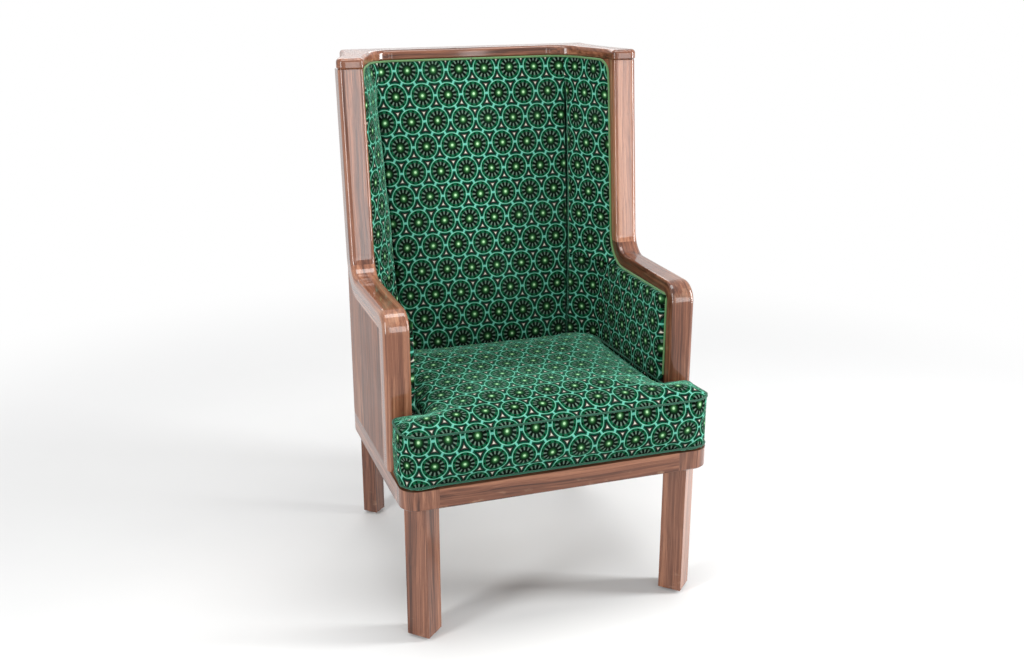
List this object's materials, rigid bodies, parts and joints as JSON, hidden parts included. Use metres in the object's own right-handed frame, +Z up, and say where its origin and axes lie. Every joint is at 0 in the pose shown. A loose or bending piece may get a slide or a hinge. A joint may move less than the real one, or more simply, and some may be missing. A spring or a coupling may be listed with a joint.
{
  "type": "wing-backed dining armchair of a railway coach",
  "caption": "High-backed railway dining armchair: polished hardwood show-frame with wings, level arms and cornerwise legs, T-shaped cushion, green figured moquette.",
  "frame": {"origin": "middle of the chair's bounding box, on the floor under it", "axes": "+Z up, -Y the way the sitter faces, +X to the right of someone who stands in front of the chair"},
  "size_m": [0.72, 0.7, 1.2],
  "materials": {
    "polished_wood": "french polish, high gloss",
    "veneer_panel": "veneer, french polish",
    "frame_wood": "planed beech, bare",
    "figured_moquette": "cut and uncut wool pile",
    "platform_felt": "matted felt",
    "webbing": "twill jute",
    "glide_steel": "dull nickel"
  },
  "bodies": {
    "root": {"arm_facing_left": "polished_wood", "arm_facing_right": "polished_wood", "arm_pad_left": "figured_moquette", "arm_pad_right": "figured_moquette", "back_pad": "figured_moquette", "back_panel": "veneer_panel", "cap_back": "polished_wood", "cap_wing_left": "polished_wood", "cap_wing_right": "polished_wood", "corner_block_left": "polished_wood", "corner_block_right": "polished_wood", "glide_front_left": "glide_steel", "glide_front_right": "glide_steel", "glide_rear_left": "glide_steel", "glide_rear_right": "glide_steel", "leg_front_left": "polished_wood", "leg_front_right": "polished_wood", "leg_rear_left": "polished_wood", "leg_rear_right": "polished_wood", "rail_arm_left": "frame_wood", "rail_arm_right": "frame_wood", "rail_back": "polished_wood", "rail_crest": "polished_wood", "rail_front": "polished_wood", "rail_side_left": "polished_wood", "rail_side_right": "polished_wood", "rail_tacking": "frame_wood", "rail_wing_left": "frame_wood", "rail_wing_right": "frame_wood", "rear_post_left": "polished_wood", "rear_post_right": "polished_wood", "seat_cushion": "figured_moquette", "seat_platform": "platform_felt", "side_panel_left": "veneer_panel", "side_panel_right": "veneer_panel", "web_cross_1": "webbing", "web_cross_2": "webbing", "web_cross_3": "webbing", "web_cross_4": "webbing", "web_cross_5": "webbing", "web_long_1": "webbing", "web_long_2": "webbing", "web_long_3": "webbing", "web_long_4": "webbing", "web_long_5": "webbing", "wing_pad_left": "figured_moquette", "wing_pad_right": "figured_moquette", "wing_panel_left": "veneer_panel", "wing_panel_right": "veneer_panel", "wing_stile_left": "polished_wood", "wing_stile_right": "polished_wood"}
  },
  "joints": []
}
